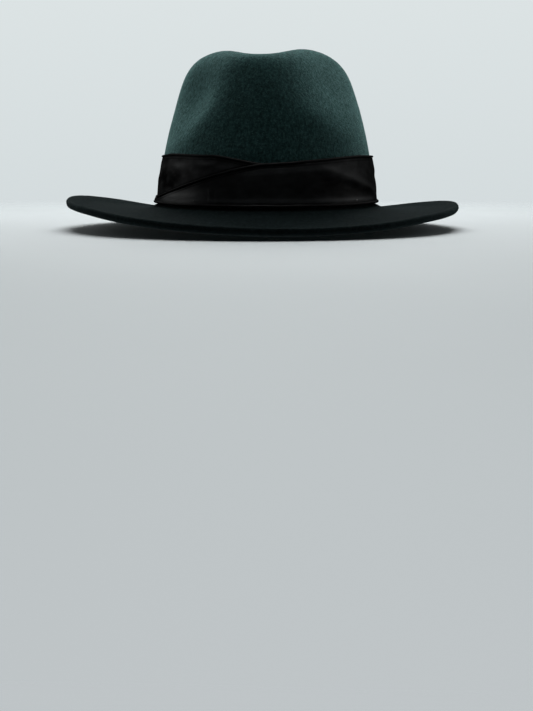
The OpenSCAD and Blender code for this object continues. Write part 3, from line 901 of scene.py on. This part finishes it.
def build_hem_stitches():
    """Machine stitches just inside the outer layer's hem, where it stands clear of the brim."""
    parts = [stitch(hem_point(deg), hem_point(deg + 1.05), outward(np.radians(deg)),
                    radius=0.13, lift=0.12)
             for deg in np.arange(-80, 174, 1.55)
             if drape_top(deg) - HEM_DROP >= BRIM_BREAK + 4.5]
    make("drape_hem_stitches", join(parts), "thread")


# ------------------------------------------------------------------ inside of the hat
def build_crown_stitches():
    seam = stitch_ring(150, first=0.4, last=1.9, z=8.0, out=0.10, side=1, radius=0.12, lift=0.08)
    make("crown_seam_threads", seam, "thread", "crown_stitches")


def inner_strip(name, slot, replaced, foot, top, out, thick, rows, deg=None,
                uneven=0.0, seed=0, tip_in=0.0):
    """A strip inside the crown: a full ring, or the given degrees of one."""
    closed = deg is None
    if closed:
        deg = np.linspace(-180, 180, 400, endpoint=False)
    angle = np.radians(deg)[:, None]
    share = np.linspace(0, 1, rows)[None]
    z = mix(foot, top, share) + 0 * angle
    ring = np.stack([70 * np.sin(angle) + 0 * z, 70 * np.cos(angle) + 0 * z, z], -1)
    wave = uneven * layered_noise(ring, size=22, seed=seed) * share
    points = wall(angle, z, out + wave - tip_in * share ** 2)
    make(name, sheet(points, thick, closed), slot, replaced)


def build_sweatband():
    inner_strip("sweatband_leather", "sweat_leather", "sweatband", foot=-1.0, top=SWEAT_H,
                out=-4.3, thick=0.8, rows=26, uneven=0.16, seed=51, tip_in=0.5)
    angle = np.linspace(0, 2 * np.pi, 480, endpoint=False)
    reed = tube(wall(angle, -1.8, -4.6), 0.62, 12, closed=True)
    make("reed_cover", reed, "reed", "sweatband_reed")
    seam = stitch_ring(180, first=0.3, last=1.6, z=1.4, out=-5.16, side=-1, radius=0.17, lift=0.2)
    make("sweatband_threads", seam, "thread", "sweatband_stitches")


def build_tapes():
    inner_strip("sweatband_back_tape", "cotton_tape", "sweatband_seam_tape", foot=2.4,
                top=SWEAT_H - 0.6, out=-5.2, thick=0.3, rows=12, deg=np.linspace(174.2, 185.8, 26))
    inner_strip("stay_tape_cotton", "cotton_tape", "stay_tape", foot=1.0, top=13.0,
                out=-3.9, thick=0.25, rows=5)
    inner_strip("size_tab_cotton", "cotton_tape", "size_tab", foot=20.0, top=30.0,
                out=-5.2, thick=0.3, rows=8, deg=np.linspace(150.2, 161.8, 24))


def build_bow():
    """Two flat ribbon loops and a knot, on the sweatband's back seam."""
    height, ribbon = 12.0, 0.35
    centre = np.array([lean(height), half_length(height) - 7.45, height])
    across = np.linspace(-1, 1, 7)[None]
    parts = []
    turn = np.linspace(0.02, 2 * np.pi - 0.02, 40)[:, None]
    for side in (1, -1):
        x = 7.2 + 5.5 * np.cos(turn)
        y = -(1.75 + 1.45 * np.sin(turn)) + 0.15 * np.cos(across * 2) - 0.1
        half = 2.2 * (0.55 + 0.45 * np.clip((x - 1.5) / 6, 0, 1))
        loop = np.stack([side * x + 0 * across, y, half * across], -1) + centre
        parts.append(sheet(loop, -side * ribbon, closed=False))
    turn = np.linspace(0, 2 * np.pi, 24, endpoint=False)[:, None]
    knot = np.stack([1.25 * np.cos(turn) * (1 - 0.18 * across ** 2),
                     -1.95 + 1.8 * np.sin(turn) * (1 - 0.10 * across ** 2),
                     1.9 * across + 0 * turn], -1) + centre
    parts.append(sheet(knot, -ribbon))
    make("sweatband_bow_ribbon", join(parts), "band_satin", "sweatband_bow")


def build_lining_side(angle):
    """Gathered satin round the inside of the crown wall."""
    column = angle[:, None]
    rise = np.linspace(LINING_FOOT, LINING_TOP, 56)[None]
    points = crown_points(column, rise, FELT + 0.35)
    share = (rise - LINING_FOOT) / (LINING_TOP - LINING_FOOT)
    ring = np.stack([60 * np.sin(column) + 0 * share, 60 * np.cos(column) + 0 * share,
                     30 * share + 0 * column], -1)
    gather = 0.5 + 0.5 * np.sin(column * 46 + 1.3 * noise(ring, size=20, seed=61))
    depth = 0.75 * bell(share, 1, 0.22) + 0.45 * np.exp(-(share / 0.3) ** 2) + 0.22
    loose = 0.5 * (0.5 + 0.5 * layered_noise(ring, size=16, seed=63)) * np.sin(share * np.pi)
    inward = depth * gather ** 1.3 + loose
    points = points - grid_normals(points) * inward[..., None]
    make("lining_side_satin", sheet(points, 0.3), "lining_satin", "lining_side")


def build_lining_tip():
    """The satin under the top of the crown, sagging a little."""
    angle = np.linspace(0, 2 * np.pi, 260, endpoint=False)[:, None]
    rise = np.linspace(LINING_TOP, 0.996, 60)[None]
    upper, lower = FELT + 0.80, FELT + 1.15
    upper_points = crown_points(angle, rise, upper)
    lower_points = crown_points(angle, rise, lower)
    sag = 0.35 * (0.5 + 0.5 * layered_noise(upper_points, size=24, seed=71))[..., None] * UP
    tip_sag = 0.2 * UP
    mesh = shell(upper_points - sag, crown_tip(upper) - tip_sag,
                 lower_points - sag, crown_tip(lower) - tip_sag)
    make("lining_tip_satin", mesh, "lining_satin", "lining_tip")


def build_lining():
    angle = np.linspace(0, 2 * np.pi, 640, endpoint=False)
    build_lining_side(angle)
    build_lining_tip()
    seam = crown_points(angle, LINING_TOP - 0.02, FELT + 1.9)
    make("lining_piping_cord", tube(seam, 0.5, closed=True), "band_satin", "lining_piping")


build_crown()
build_brim()
build_wrap()
build_drape()
build_cords()
build_tuck()
build_tacks()
build_hem_stitches()
build_crown_stitches()
build_sweatband()
build_tapes()
build_bow()
build_lining()


# ------------------------------------------------------------------ floor, lights, world, camera
def floor_material():
    """Pale paper that fades out with distance and lets light through from below."""
    t = Shader(bpy.data.materials.new("floor_paper"))
    color = t.ramp(t.noise(scale=3.0), [(0.3, (0.325, 0.345, 0.352)), (0.7, (0.342, 0.362, 0.37))])
    grain = t.bump(t.noise(scale=1400, detail=2), strength=0.05, distance=0.0002)
    paper = t.principled({"Base Color": color, "Roughness": 0.75, "Normal": grain,
                          "Specular IOR Level": 0.2})
    distance = t.add("VectorMath", {0: t.coords["Object"]}, operation="LENGTH").outputs["Value"]
    fade = t.map_range(distance, start=0.22, end=1.1, curve="SMOOTHSTEP")
    below = t.add("NewGeometry").outputs["Backfacing"]
    shadow_ray = t.add("LightPath").outputs["Is Shadow Ray"]
    clear = t.math("MAXIMUM", fade, below, clamp=True)
    clear = t.math("MAXIMUM", clear, shadow_ray, clamp=True)
    see_through = t.add("BsdfTransparent").outputs[0]
    return t.finish(t.add("MixShader", {0: clear, 1: paper, 2: see_through}).outputs[0])


def build_floor():
    bpy.ops.mesh.primitive_circle_add(vertices=96, radius=3.2, fill_type="NGON",
                                      location=(0, 0, -17.6 * MM))
    ob = bpy.context.object
    ob.name = "floor"
    ob.rotation_euler = (math.radians(-0.95), 0, 0)
    ob.data.materials.append(floor_material())


LIGHT_TARGET = Vector((0, 0, 0.03))
COOL, SOFT, WHITE = (0.97, 1.0, 1.0), (0.98, 1.0, 1.0), (1.0, 1.0, 1.0)
LIGHTS = [      # name, location and size in metres, power in watts, color
    ("softbox_left", (-1.20, 0.35, 0.25), (0.8, 1.2), 4.3, COOL),
    ("softbox_left_back", (-0.90, 1.00, 0.50), (0.8, 1.0), 1.5, COOL),
    ("softbox_right", (1.20, 0.35, 0.25), (0.8, 1.2), 4.2, COOL),
    ("softbox_top", (0.0, 0.10, 1.40), (1.0, 1.0), 18.0, SOFT),
    ("softbox_top_back", (0.0, 1.00, 1.00), (1.4, 0.8), 30.0, SOFT),
    ("fill_below", (0.0, 0.0, -1.2), (1.6, 1.6), 28.0, WHITE),
]


def build_light(name, location, size, power, color):
    light = bpy.data.lights.new(name, "AREA")
    light.shape = "RECTANGLE"
    light.size, light.size_y = size
    light.energy = power
    light.color = color
    ob = bpy.data.objects.new(name, light)
    bpy.context.scene.collection.objects.link(ob)
    ob.location = location
    ob.rotation_euler = (LIGHT_TARGET - Vector(location)).to_track_quat("-Z", "Y").to_euler()
    ob.visible_camera = False


def build_world():
    """The camera sees a pale upright gradient; the hat gets a faint glow, stronger from +Y."""
    world = bpy.data.worlds.new("studio")
    bpy.context.scene.world = world
    t = Shader(world, "OutputWorld")
    direction = t.add("SeparateXYZ", {0: t.coords["Generated"]}).outputs
    backdrop = t.ramp(t.map_range(direction["Z"], start=-0.6, end=0.6), [
        (0.0, (0.655, 0.695, 0.715)), (0.42, (0.645, 0.70, 0.715)), (1.0, (0.835, 0.885, 0.88))])
    glow = t.map_range(direction["Y"], start=-0.25, end=0.9, to_start=0.03, to_end=0.08,
                       curve="SMOOTHSTEP")
    seen = t.add("Background", {"Color": backdrop, "Strength": 1.0}).outputs[0]
    light = t.add("Background", {"Color": (0.80, 0.86, 0.87), "Strength": glow}).outputs[0]
    camera_ray = t.add("LightPath").outputs["Is Camera Ray"]
    t.finish(t.add("MixShader", {0: camera_ray, 1: light, 2: seen}).outputs[0])


def build_camera():
    """In front of the hat and a little toward +X, looking down at it."""
    yaw, pitch = math.radians(2.68), math.radians(12.06)
    distance, height = 0.7356, 0.033
    data = bpy.data.cameras.new("camera")
    data.sensor_width = 36.0
    data.sensor_fit = "AUTO"
    data.lens = 45.56962025
    data.clip_start, data.clip_end = 0.05, 50
    camera = bpy.data.objects.new("camera", data)
    bpy.context.scene.collection.objects.link(camera)
    bpy.context.scene.camera = camera
    camera.location = (distance * math.sin(yaw), -distance * math.cos(yaw), height)
    camera.rotation_euler = (math.pi / 2 - pitch, 0, yaw)


build_floor()
for light_row in LIGHTS:
    build_light(*light_row)
build_world()
bpy.context.scene.view_settings.view_transform = "Standard"
bpy.context.scene.view_settings.look = "None"
build_camera()
